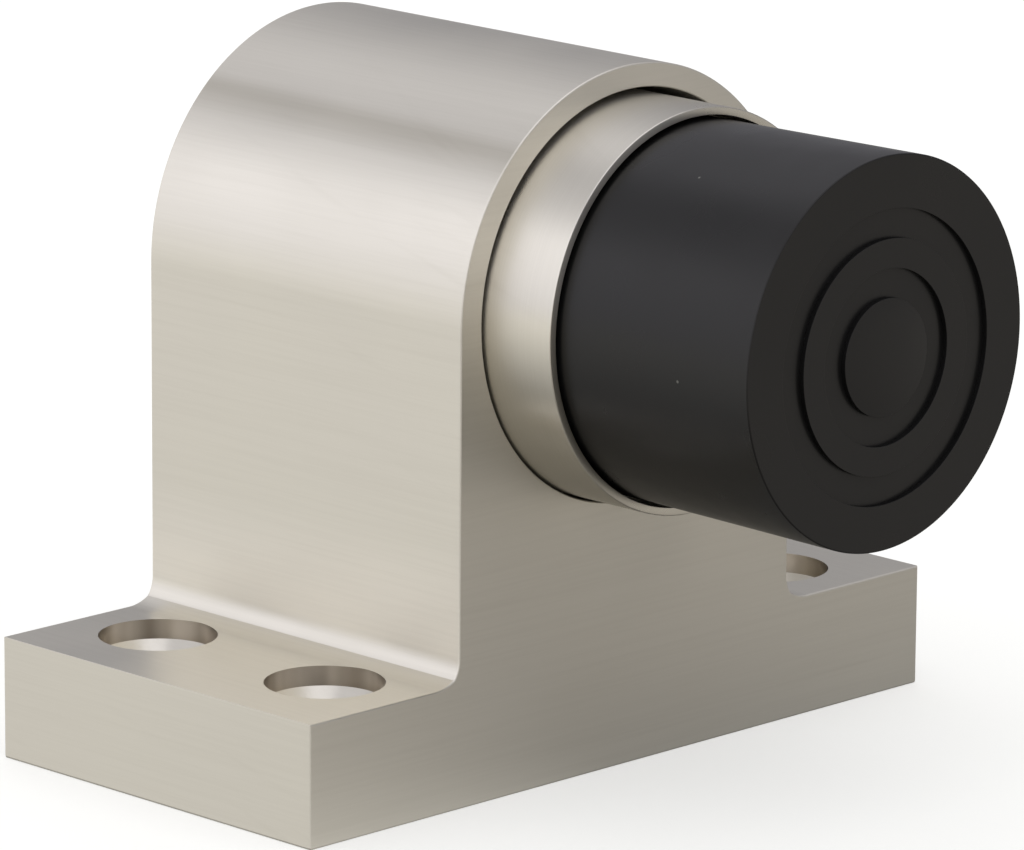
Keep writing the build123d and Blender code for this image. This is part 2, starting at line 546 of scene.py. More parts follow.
    def _roughness(
        self,
        tree: bpy.types.NodeTree,
        place: bpy.types.Node,
        inside: bpy.types.NodeSocket,
        matt_painted_band: bpy.types.NodeSocket,
    ) -> bpy.types.NodeSocket:
        """Roughness of the ground sides and of their rougher band above the flange, of the front and back, and of
        the holes.

        Args:
            tree: The material's tree.
            place: The texture coordinates.
            inside: Is 1 in the floor holes.
            matt_painted_band: Is 1 on the walls just above the flange.

        Returns:
            The roughness before its waves.
        """
        side = add(
            tree,
            "ShaderNodeMix",
            {0: matt_painted_band, 2: self.roughness, 3: self.corner_roughness},
            data_type="FLOAT",
        )
        ground = add(
            tree,
            "ShaderNodeMix",
            {0: self._facing(tree, place), 2: side.outputs[0], 3: self.face_roughness},
            data_type="FLOAT",
        )
        mixed = add(
            tree,
            "ShaderNodeMix",
            {0: inside, 2: ground.outputs[0], 3: self.drilled_roughness},
            data_type="FLOAT",
        )
        return mixed.outputs[0]

    def _marks(self, tree: bpy.types.NodeTree, place: bpy.types.Node) -> bpy.types.NodeSocket:
        """Faint slanting marks from handling.

        Args:
            tree: The material's tree.
            place: The texture coordinates.

        Returns:
            How dull the face is, mostly 0.
        """
        across = 1 / (self.mark_width * MM)
        along = 1 / (self.mark_length * MM)
        turned = add(
            tree,
            "ShaderNodeMapping",
            {"Vector": place.outputs["Object"], "Rotation": (math.radians(-self.mark_tilt), 0, 0)},
        )
        drawn = add(
            tree,
            "ShaderNodeVectorMath",
            {0: turned.outputs[0], 1: (along, along, across)},
            operation="MULTIPLY",
        )
        streaks = add(tree, "ShaderNodeTexNoise", {"Vector": drawn.outputs[0], "Scale": 1.0, "Detail": 2.0})
        first, last = self.mark_range
        dull = add(
            tree,
            "ShaderNodeMapRange",
            {"Value": streaks.outputs[0], "From Min": first, "From Max": last, "To Max": self.mark_shade},
        )
        return dull.outputs[0]


@dataclass(frozen=True)
class MouldedRubber:
    """Black moulded rubber: nearly black, with a soft sheen from the mould and a few specks of dust.

    Sizes are in millimetres.
    """

    name: str = "black_moulded_rubber"
    colour: str = "#090909"
    bloom: str = "#0F0F0F"
    dust: str = "#5C5C58"
    # Roughness, and how far it falls and rises over this range of the clouds of bloom.
    roughness: float = 0.3
    roughness_change: tuple[float, float] = (-0.04, 0.06)
    bloom_range: tuple[float, float] = (0.3, 0.7)
    bloom_width: float = 9.0
    skin_grain: float = 0.5
    skin_depth: float = 0.002
    dust_spacing: float = 7.0
    dust_radius: float = 0.2
    specular: float = 0.37
    specular_tint: str = "#FFFDFA"

    def material(self) -> bpy.types.Material:
        """Builds the rubber.

        Returns:
            The finished material.
        """
        made = bpy.data.materials.new(self.name)
        made.use_nodes = True
        tree = made.node_tree
        shader = tree.nodes["Principled BSDF"]
        place = add(tree, "ShaderNodeTexCoord")
        spot = place.outputs["Object"]
        clouds = add(
            tree, "ShaderNodeTexNoise", {"Vector": spot, "Scale": 1 / (self.bloom_width * MM), "Detail": 3.0}
        )
        skin = add(
            tree, "ShaderNodeTexNoise", {"Vector": spot, "Scale": 1 / (self.skin_grain * MM), "Detail": 2.0}
        )
        base = add(
            tree,
            "ShaderNodeMix",
            {0: clouds.outputs[0], 6: linear(self.colour), 7: linear(self.bloom)},
            data_type="RGBA",
        )

        # One cell in a few holds a speck, so that the specks lie apart.
        cells = add(tree, "ShaderNodeTexVoronoi", {"Vector": spot, "Scale": 1 / (self.dust_spacing * MM)})
        near = add(
            tree,
            "ShaderNodeMath",
            {0: cells.outputs["Distance"], 1: self.dust_radius / self.dust_spacing},
            operation="LESS_THAN",
        )
        speck = add(
            tree,
            "ShaderNodeMix",
            {0: near.outputs[0], 6: base.outputs[2], 7: linear(self.dust)},
            data_type="RGBA",
        )
        tree.links.new(speck.outputs[2], shader.inputs["Base Color"])
        first, last = self.bloom_range
        fall, rise = self.roughness_change
        sheen = add(
            tree,
            "ShaderNodeMapRange",
            {
                "Value": clouds.outputs[0],
                "From Min": first,
                "From Max": last,
                "To Min": self.roughness + fall,
                "To Max": self.roughness + rise,
            },
        )
        tree.links.new(sheen.outputs[0], shader.inputs["Roughness"])
        shader.inputs["Specular IOR Level"].default_value = self.specular
        shader.inputs["Specular Tint"].default_value = linear(self.specular_tint)
        grain = add(
            tree,
            "ShaderNodeBump",
            {"Height": skin.outputs[0], "Strength": 1.0, "Distance": self.skin_depth * MM},
        )
        tree.links.new(grain.outputs[0], shader.inputs["Normal"])
        return made


@dataclass(frozen=True)
class WorkedStock:
    """A plain stock material inside the stop, with a faint cloudy tone and a fine skin.

    Sizes are in millimetres.
    """

    name: str
    colour: str
    shade: str
    roughness: float
    metallic: float
    grain: float
    depth: float

    def material(self) -> bpy.types.Material:
        """Builds the stock.

        Returns:
            The finished material.
        """
        made = bpy.data.materials.new(self.name)
        made.use_nodes = True
        tree = made.node_tree
        shader = tree.nodes["Principled BSDF"]
        place = add(tree, "ShaderNodeTexCoord")
        clouds = add(
            tree,
            "ShaderNodeTexNoise",
            {"Vector": place.outputs["Object"], "Scale": 1 / (self.grain * MM), "Detail": 4.0},
        )
        tint = add(
            tree,
            "ShaderNodeMix",
            {0: clouds.outputs[0], 6: linear(self.colour), 7: linear(self.shade)},
            data_type="RGBA",
        )
        tree.links.new(tint.outputs[2], shader.inputs["Base Color"])
        skin = add(
            tree,
            "ShaderNodeBump",
            {"Height": clouds.outputs[0], "Strength": 1.0, "Distance": self.depth * MM},
        )
        tree.links.new(skin.outputs[0], shader.inputs["Normal"])
        shader.inputs["Roughness"].default_value = self.roughness
        shader.inputs["Metallic"].default_value = self.metallic
        return made


class NodeShape:
    """A Geometry Nodes tree with named inputs, and the pieces made with it."""

    def __init__(self, name: str, sockets: dict[str, str]) -> None:
        """Starts an empty tree.

        Args:
            name: Name of the tree.
            sockets: Socket type of each input, by name.
        """
        self.tree = bpy.data.node_groups.new(name, "GeometryNodeTree")
        face = self.tree.interface
        face.new_socket("Geometry", in_out="INPUT", socket_type="NodeSocketGeometry")
        face.new_socket("Geometry", in_out="OUTPUT", socket_type="NodeSocketGeometry")
        self.keys = {
            label: face.new_socket(label, in_out="INPUT", socket_type=kind).identifier
            for label, kind in sockets.items()
        }
        self.given = add(self.tree, "NodeGroupInput")

    def close(self, geometry: bpy.types.NodeSocket) -> None:
        """Ends the tree: instances become real mesh, and the mesh takes its material.

        Args:
            geometry: What the tree has made.
        """
        real = add(self.tree, "GeometryNodeRealizeInstances", {0: geometry})
        dressed = add(
            self.tree,
            "GeometryNodeSetMaterial",
            {"Geometry": real.outputs[0], "Material": self.given.outputs["Material"]},
        )
        add(self.tree, "NodeGroupOutput", {0: dressed.outputs[0]})

    def piece(self, name: str, mesh: bpy.types.Mesh, values: dict[str, object]) -> bpy.types.Object:
        """Makes a plain mesh object with the tree.

        Args:
            name: Name of the object.
            mesh: Mesh that the tree starts from.
            values: Value of each named input.

        Returns:
            The new object.
        """
        made = new_object(name, mesh)
        modifier = made.modifiers.new(name, "NODES")
        modifier.node_group = self.tree
        for label, value in values.items():
            modifier[self.keys[label]] = value
        return settle(made)


class Lathe(NodeShape):
    """Turns a profile round the buffer's axis."""

    def __init__(self) -> None:
        """Builds the tree."""
        super().__init__(
            "turned_profile",
            {
                "Segments": "NodeSocketInt",
                "Path Radius": "NodeSocketFloat",
                "Axis Height": "NodeSocketFloat",
                "Material": "NodeSocketMaterial",
            },
        )
        tree, given = self.tree, self.given
        profile = add(tree, "GeometryNodeMeshToCurve", {0: given.outputs["Geometry"]})
        path = add(
            tree,
            "GeometryNodeCurvePrimitiveCircle",
            {"Resolution": given.outputs["Segments"], "Radius": given.outputs["Path Radius"]},
        )
        level = add(tree, "GeometryNodeSetCurveNormal", {"Curve": path.outputs[0]}, mode="Z_UP")
        skin = add(
            tree,
            "GeometryNodeCurveToMesh",
            {"Curve": level.outputs[0], "Profile Curve": profile.outputs[0]},
        )
        height = add(tree, "ShaderNodeCombineXYZ", {2: given.outputs["Axis Height"]})
        laid = add(
            tree,
            "GeometryNodeTransform",
            {
                "Geometry": skin.outputs[0],
                "Translation": height.outputs[0],
                "Rotation": (math.radians(90), 0, 0),
            },
        )
        self.close(laid.outputs[0])

    def turn(
        self,
        name: str,
        points: list[ProfilePoint],
        axis_height: float,
        material: bpy.types.Material,
        segments: int = 256,
    ) -> bpy.types.Object:
        """Turns one piece.

        Args:
            name: Name of the piece.
            points: Closed profile, as radius and place along the axis.
            axis_height: Height of the axis above the floor.
            material: Material of the piece.
            segments: Number of flat runs round the axis.

        Returns:
            The new object.
        """
        path_radius = 1.0
        mesh = bpy.data.meshes.new(name)
        ring = [((r - path_radius) * MM, y * MM, 0) for r, y in points]
        mesh.from_pydata(ring, [(i, (i + 1) % len(ring)) for i in range(len(ring))], [])
        return self.piece(
            name,
            mesh,
            {
                "Segments": segments,
                "Path Radius": path_radius * MM,
                "Axis Height": axis_height * MM,
                "Material": material,
            },
        )


class HolePattern(NodeShape):
    """Repeats a cutting tool on the corners of a rectangle."""

    def __init__(self) -> None:
        """Builds the tree."""
        super().__init__(
            "hole_pattern",
            {
                "Pitch X": "NodeSocketFloat",
                "Pitch Y": "NodeSocketFloat",
                "Material": "NodeSocketMaterial",
            },
        )
        tree, given = self.tree, self.given
        corners = add(
            tree,
            "GeometryNodeMeshGrid",
            {
                "Size X": given.outputs["Pitch X"],
                "Size Y": given.outputs["Pitch Y"],
                "Vertices X": 2,
                "Vertices Y": 2,
            },
        )
        tools = add(
            tree,
            "GeometryNodeInstanceOnPoints",
            {"Points": corners.outputs["Mesh"], "Instance": given.outputs["Geometry"]},
        )
        self.close(tools.outputs[0])


class Coil(NodeShape):
    """A round-wire spring with its ends ground flat."""

    turn_steps: int = 72
    wire_steps: int = 28

    def __init__(self) -> None:
        """Builds the tree."""
        super().__init__(
            "coiled_wire",
            {
                "Turns": "NodeSocketFloat",
                "Length": "NodeSocketFloat",
                "Coil Radius": "NodeSocketFloat",
                "Wire Radius": "NodeSocketFloat",
                "Front": "NodeSocketVector",
                "Material": "NodeSocketMaterial",
            },
        )
        tree, given = self.tree, self.given
        path = add(
            tree,
            "GeometryNodeCurveSpiral",
            {
                "Resolution": self.turn_steps,
                "Rotations": given.outputs["Turns"],
                "Start Radius": given.outputs["Coil Radius"],
                "End Radius": given.outputs["Coil Radius"],
                "Height": given.outputs["Length"],
            },
        )
        section = add(
            tree,
            "GeometryNodeCurvePrimitiveCircle",
            {"Resolution": self.wire_steps, "Radius": given.outputs["Wire Radius"]},
        )
        wire = add(
            tree,
            "GeometryNodeCurveToMesh",
            {"Curve": path.outputs[0], "Profile Curve": section.outputs[0], "Fill Caps": True},
        )
        spot = add(tree, "GeometryNodeInputPosition")
        parts = add(tree, "ShaderNodeSeparateXYZ", {0: spot.outputs[0]})
        ground = add(
            tree,
            "ShaderNodeClamp",
            {"Value": parts.outputs["Z"], "Min": 0.0, "Max": given.outputs["Length"]},
        )
        flat = add(
            tree, "ShaderNodeCombineXYZ", {0: parts.outputs["X"], 1: parts.outputs["Y"], 2: ground.outputs[0]}
        )
        cut = add(tree, "GeometryNodeSetPosition", {"Geometry": wire.outputs[0], "Position": flat.outputs[0]})
        laid = add(
            tree,
            "GeometryNodeTransform",
            {
                "Geometry": cut.outputs[0],
                "Translation": given.outputs["Front"],
                "Rotation": (math.radians(-90), 0, 0),
            },
        )
        self.close(laid.outputs[0])


@dataclass
class Housing:
    """The block: a flanged base and an arched tower, bored from the front. Sizes are in millimetres."""

    material: bpy.types.Material
    lathe: Lathe
    tower_radius: float = 24.25
    flange_thickness: float = 13.0
    # The fillet is two cuts: how far from the wall and above the flange they meet, and how far each has
    # turned there, in degrees.
    crease: tuple[float, float] = (0.7, 0.71)
    crease_turns: tuple[float, float] = (60.0, 37.0)
    foot_rounding: float = 0.25
    end_rounding: float = 0.05
    # Rounded edge round the front and back faces, and along the flange's top.
    edge_rounding: float = 0.2
    flange_edge: float = 0.22
    bore_radius: float = 21.5
    bore_chamfer: float = 0.1
    # How far right of the sleeve and above it the bore's mouth lies, and how deep the mouth is.
    mouth_play: tuple[float, float] = (0.2, 0.2)
    mouth_depth: float = 6.0
    back_wall: float = 9.0
    screw_hole_radius: float = 4.0
    back_skin: float = 1.5
    recess_radius: float = 6.2
    recess_depth: float = 2.1
    overshoot: float = 6.0
    # Straight runs of each rounding, and the angle in degrees above which an edge stays sharp.
    foot_steps: int = 8
    shoulder_steps: int = 3
    fillet_steps: int = 12
    arch_steps: int = 72
    edge_steps: int = 6
    hole_segments: int = 128
    sharp_angle: float = 25.0

    def __post_init__(self) -> None:
        """Takes the block's box and its floor holes from the frame."""
        low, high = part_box("housing")
        self.half_length = high.x / MM
        self.front_y = low.y / MM
        self.back_y = high.y / MM
        self.axis_height = high.z / MM - self.tower_radius
        self.holes = floor_holes()

    def build(self) -> bpy.types.Object:
        """Builds the housing in place of its CAD node.

        Returns:
            The finished piece.
        """
        block = self._block()
        for tool in (self._bore_tool(), self._hole_tools()):
            cut = block.modifiers.new(tool.name, "BOOLEAN")
            cut.operation = "DIFFERENCE"
            cut.solver = "EXACT"
            cut.object = tool
            settle(block)
            bpy.data.objects.remove(tool)
        smooth(block, self.sharp_angle)
        block.data.materials.clear()
        block.data.materials.append(self.material)
        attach(block, "base")
        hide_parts("housing")
        return block

    def _outline(self) -> list[tuple[Vector, Vector, float]]:
        """The block seen from the front, from the left foot over the arch to the right foot.

        Returns:
            Each point as (x, z), its place on the front and back faces, and how deep the rounded edge goes
            there.
        """
        end, top, wall = self.half_length, self.flange_thickness, self.tower_radius
        thin, broad = self.edge_rounding, self.flange_edge
        foot = (-end + self.foot_rounding, self.foot_rounding)
        shoulder = (-end + self.end_rounding, top - self.end_rounding)
        out, above = self.crease
        lower_turn, upper_turn = self.crease_turns
        low, high = math.radians(lower_turn), math.radians(upper_turn)
        lower = above / (1 - math.sin(low))
        upper = out / (1 - math.cos(high))
        lower_centre = (-wall - out - lower * math.cos(low), top + lower)
        upper_centre = (-wall - upper, top + above + upper * math.sin(high))
        corner = Vector((-end + thin, top - broad))
        left: list[tuple[Vector, Vector, float]] = []
        for centre, radius, start, stop, steps, outwards, first, last in (
            (foot, self.foot_rounding, 270, 180, self.foot_steps, 1, thin, thin),
            (shoulder, self.end_rounding, 180, 90, self.shoulder_steps, 1, thin, broad),
            (lower_centre, lower, 270, 360 - lower_turn, self.fillet_steps, -1, broad, thin),
            (upper_centre, upper, 360 - upper_turn, 360, self.fillet_steps, -1, thin, thin),
            ((0.0, self.axis_height), wall, 180, 90, self.arch_steps, 1, thin, thin),
        ):
            for step, (x, z) in enumerate(arc(centre, radius, start, stop, steps)):
                spot = Vector((x, z))
                if left and (spot - left[-1][0]).length < MERGE_DISTANCE:
                    continue
                edge = first + (last - first) * step / steps
                away = Vector((x - centre[0], z - centre[1])).normalized() * outwards
                inset = corner if centre is shoulder else spot - away * edge
                left.append((spot, inset, edge))
        right = [(Vector((-p.x, p.y)), Vector((-q.x, q.y)), edge) for p, q, edge in reversed(left[:-1])]
        return left + right

    def _block(self) -> bpy.types.Object:
        """The block before it is bored, with its front and back edges rounded.

        Returns:
            The block as an object of its own.
        """
        outline = self._outline()
        turns = [math.radians(90 * i / self.edge_steps) for i in range(self.edge_steps + 1)]
        shell = bmesh.new()
        rings = []
        for face_y, inwards, order in ((self.front_y, 1, turns), (self.back_y, -1, turns[::-1])):
            for turn in order:
                ring = []
                for spot, inset, edge in outline:
                    at = spot.lerp(inset, 1 - math.sin(turn))
                    y = face_y + inwards * edge * (1 - math.cos(turn))
                    ring.append(shell.verts.new((at.x * MM, y * MM, at.y * MM)))
                rings.append(ring)
        for near, far in zip(rings, rings[1:]):
            for i in range(len(outline)):
                k = (i + 1) % len(outline)
                shell.faces.new((near[i], near[k], far[k], far[i]))
        shell.faces.new(rings[0])
        shell.faces.new(rings[-1])
        mesh = bpy.data.meshes.new("housing_block")
        shell.to_mesh(mesh)
        shell.free()
        close_mesh(mesh)
        mesh.materials.append(self.material)
        return new_object("housing_block", mesh)

    def _bore_tool(self) -> bpy.types.Object:
        """Cutting tool for the bore, its mouth and the guide screw's hole.

        Returns:
            The tool, in its place.
        """
        mouth = self.bore_radius + self.bore_chamfer
        floor_y = self.back_y - self.back_wall
        start_y = self.front_y - self.overshoot
        hole_y = self.back_y - self.back_skin
        points = [
            (0, start_y),
            (mouth, start_y),
            (mouth, self.front_y),
            (self.bore_radius, self.front_y + self.bore_chamfer),
            (self.bore_radius, self.front_y + self.mouth_depth),
            (self.bore_radius, floor_y),
            (self.screw_hole_radius, floor_y),
            (self.screw_hole_radius, hole_y),
            (0, hole_y),
        ]
        tool = self.lathe.turn("bore_tool", points, self.axis_height, self.material)
        close_mesh(tool.data)

        # The sleeve hangs a little low and left in its mouth, so the mouth lies high and right of it.
        right, up = (shift * MM for shift in self.mouth_play)
        last_y = (self.front_y + self.mouth_depth / 2) * MM
        for corner in tool.data.vertices:
            if corner.co.y < last_y:
                corner.co += Vector((right, 0, up))
        return tool

    def _hole_tools(self) -> bpy.types.Object:
        """Cutting tools for the floor holes: recess, countersink and clearance hole.

        Returns:
            The four tools as one object.
        """
        top = self.flange_thickness
        hole = self.holes["hole_r_mm"]
        recess = self.recess_radius
        cone_top = top - self.recess_depth
        cone_foot = cone_top - (recess - hole)
        points = [
            (0, -self.overshoot),
            (hole, -self.overshoot),
            (hole, cone_foot),
            (recess, cone_top),
            (recess, top + self.overshoot),
            (0, top + self.overshoot),
        ]
        tool = self.lathe.turn(
            "hole_tool", points, axis_height=0.0, material=self.material, segments=self.hole_segments
        )
        tool.data.transform(Matrix.Rotation(math.radians(90), 4, "X"))
        close_mesh(tool.data)
        pitch_x, pitch_y = self.holes["spacing_x_mm"], self.holes["spacing_y_mm"]
        tools = HolePattern().piece(
            "hole_tools",
            tool.data,
            {"Pitch X": pitch_x * MM, "Pitch Y": pitch_y * MM, "Material": self.material},
        )
        bpy.data.objects.remove(tool)
        return tools


@dataclass
class Plunger:
    """The moving part: a thin turned cup with the rubber buffer in it. Sizes are in millimetres."""

    steel: bpy.types.Material
    rubber: bpy.types.Material
    lathe: Lathe
    sleeve_radius: float = 21.0
    land_radius: float = 21.4
    land_length: float = 12.0
    chamfer: float = 0.5
    rim_wall: float = 0.85
    rim_rounding: float = 0.12
    lip_rounding: float = 0.05
    rim_gap_depth: float = 6.0
    seat_gap: float = 0.05
    web_thickness: float = 5.0
    skirt_wall: float = 3.5
    screw_clearance_radius: float = 5.3
    rubber_radius: float = 19.75
    rubber_rounding: float = 0.15
    groove_width: float = 3.0
    groove_depth: float = 0.55
    groove_edge: float = 0.03
    groove_drop: float = 0.35
    outer_groove_radius: float = 13.5
    inner_groove_radius: float = 7.5
    hollow_radius: float = 9.75
    hollow_front_y: float = -39.85
    # Straight runs of a rounded edge and of a finer one, and the angle in degrees above which an edge stays
    # sharp.
    edge_steps: int = 6
    fine_steps: int = 4
    sharp_angle: float = 35.0

    def __post_init__(self) -> None:
        """Takes the places along the axis from the frame."""
        low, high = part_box("plunger_cup")
        self.rim_y = low.y / MM
        self.back_y = high.y / MM
        self.axis_height = (low.z + high.z) / 2 / MM
        low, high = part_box("rubber_buffer")
        self.face_y = low.y / MM
        self.seat_y = high.y / MM
        self.face_radius = (high.z - low.z) / 2 / MM

    def build(self) -> list[bpy.types.Object]:
        """Builds the cup and the rubber in place of their CAD nodes.

        Returns:
            The finished pieces.
        """
        made = []
        for node, slot, points, material in (
            ("plunger_cup", "turned_stainless", self._cup_profile(), self.steel),
            ("rubber_buffer", "black_rubber", self._rubber_profile(), self.rubber),
        ):
            piece = self.lathe.turn(f"{node}_turned", points, self.axis_height, material)
            if node == "rubber_buffer":
                self._drop_grooves(piece)
            smooth(piece, self.sharp_angle)
            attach(piece, "plunger")
            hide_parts(node)
            made.append(piece)
        return made

    def _drop_grooves(self, rubber: bpy.types.Object) -> None:
        """Moves the ring grooves down a little on the rubber's face, as they were moulded.

        Args:
            rubber: The turned rubber.
        """
        reach = (self.outer_groove_radius + self.groove_width / 2 + 2 * self.groove_edge) * MM
        last_y = (self.face_y + self.groove_depth + self.groove_edge) * MM
        for corner in rubber.data.vertices:
            spot = corner.co
            off_axis = math.hypot(spot.x, spot.z - self.axis_height * MM)
            if spot.y < last_y and off_axis < reach:
                spot.z -= self.groove_drop * MM

    def _cup_profile(self) -> list[ProfilePoint]:
        """Half section of the cup, with a rounded rim.

        Returns:
            The closed profile, from the rim's inner edge round to the gap behind it.
        """
        rim_bore = self.sleeve_radius - self.rim_wall
        seat = self.rubber_radius + self.seat_gap
        skirt_bore = self.sleeve_radius - self.skirt_wall
        web_back = self.seat_y + self.web_thickness
        land_y = self.back_y - self.land_length
        lip = self.lip_rounding
        rim = self.rim_rounding
        return [
            *arc((rim_bore + lip, self.rim_y + lip), lip, 180, 270, self.fine_steps),
            *arc((self.sleeve_radius - rim, self.rim_y + rim), rim, 270, 360, self.edge_steps),
            (self.sleeve_radius, land_y),
            (self.land_radius, land_y + self.chamfer),
            (self.land_radius, self.back_y - self.chamfer),
            (self.land_radius - self.chamfer, self.back_y),
            (skirt_bore, self.back_y),
            (skirt_bore, web_back),
            (self.screw_clearance_radius, web_back),
            (self.screw_clearance_radius, self.seat_y),
            (seat, self.seat_y),
            (seat, self.rim_y + self.rim_gap_depth),
            (rim_bore, self.rim_y + self.rim_gap_depth),
        ]

    def _rubber_profile(self) -> list[ProfilePoint]:
        """Half section of the rubber, with two ring grooves on its face.

        Returns:
            The closed profile, from the hollow round to the middle of the face.
        """
        edge = self.rubber_rounding
        points = [
            (0, self.hollow_front_y),
            (self.hollow_radius, self.hollow_front_y),
            (self.hollow_radius, self.seat_y),
            (self.rubber_radius, self.seat_y),
            (self.rubber_radius, self.rim_y),
            *arc((self.face_radius - edge, self.face_y + edge), edge, 0, -90, self.edge_steps),
        ]
        soft = self.groove_edge
        floor_y = self.face_y + self.groove_depth
        for radius in (self.outer_groove_radius, self.inner_groove_radius):
            outer = radius + self.groove_width / 2
            inner = radius - self.groove_width / 2
            points += arc((outer + soft, self.face_y + soft), soft, 270, 180, self.fine_steps)
            points += [(outer, floor_y), (inner, floor_y)]
            points += arc((inner - soft, self.face_y + soft), soft, 0, -90, self.fine_steps)
        points.append((0, self.face_y))
        return points


@dataclass
class SpringSet:
    """Guide screw, washer and spring, which drive and stop the plunger out of sight.

    Sizes are in millimetres.
    """

    spring_steel: bpy.types.Material
    screw_steel: bpy.types.Material
    washer_polyamide: bpy.types.Material
    wire_diameter: float = 3.5
    coil_reserve: float = 0.35
    # Angle in degrees above which an edge stays sharp.
    sharp_angle: float = 40.0

    def __post_init__(self) -> None:
        """Takes the spring's place and the joint's stroke from the frame."""
        low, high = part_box("compression_spring")
        self.front_y = low.y / MM
        self.back_y = high.y / MM
        self.coil_radius = (high.x - low.x) / 2 / MM - self.wire_diameter / 2
        self.axis_height = (low.z + high.z) / 2 / MM
        joints = {joint["name"]: joint for joint in frame["joints"]}
        self.stroke = joints["plunger_slide"]["range_m"][1] / MM

    def build(self) -> bpy.types.Object:
        """Builds the spring in place of its CAD node, and dresses the screw and the washer.

        Returns:
            The spring.
        """
        length = self.back_y - self.front_y
        turns = (length - self.stroke) / (self.wire_diameter + self.coil_reserve)
        front = (0, self.front_y * MM, self.axis_height * MM)
        spring = Coil().piece(
            "spring_wire",
            bpy.data.meshes.new("spring_wire"),
            {
                "Turns": turns,
                "Length": length * MM,
                "Coil Radius": self.coil_radius * MM,
                "Wire Radius": self.wire_diameter / 2 * MM,
                "Front": front,
                "Material": self.spring_steel,
            },
        )
        smooth(spring, self.sharp_angle)
        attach(spring, "base")
        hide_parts("compression_spring")
        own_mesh(spring)
        for node, material in (("guide_screw", self.screw_steel), ("stop_washer", self.washer_polyamide)):
            shown = frame["nodes"][node]
            shown.data.materials.clear()
            shown.data.materials.append(material)
        return spring


